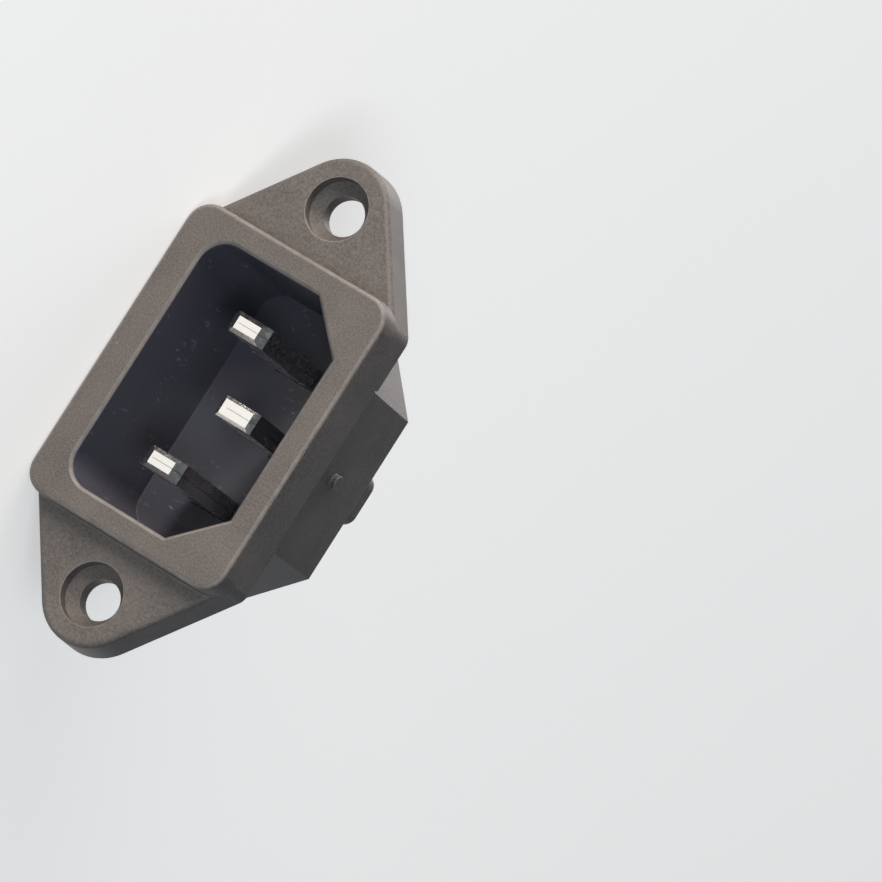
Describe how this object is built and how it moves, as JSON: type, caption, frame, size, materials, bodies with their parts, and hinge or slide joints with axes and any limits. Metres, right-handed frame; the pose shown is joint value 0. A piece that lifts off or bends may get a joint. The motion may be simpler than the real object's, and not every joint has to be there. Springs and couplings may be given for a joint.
{
  "type": "panel inlet socket",
  "caption": "Screw-mounted mains inlet socket: moulded black housing with a bevelled cavity, folded contact blades and rear solder tabs.",
  "frame": {"origin": "midway between the two screw holes, in the plane of the flange's rear face that seats on the panel", "axes": "+X from screw hole to screw hole, +Y to the rear along the terminals, +Z towards the earth contact and the bevelled corners; the mouth of the socket faces -Y"},
  "size_m": [0.0498, 0.0293, 0.022],
  "materials": {
    "housing_plastic": "fine matte texture, near black",
    "contact_metal": "nickel plated, satin"
  },
  "bodies": {
    "root": {"housing": "housing_plastic", "line_contact": "contact_metal", "neutral_contact": "contact_metal", "earth_contact": "contact_metal"}
  },
  "joints": []
}
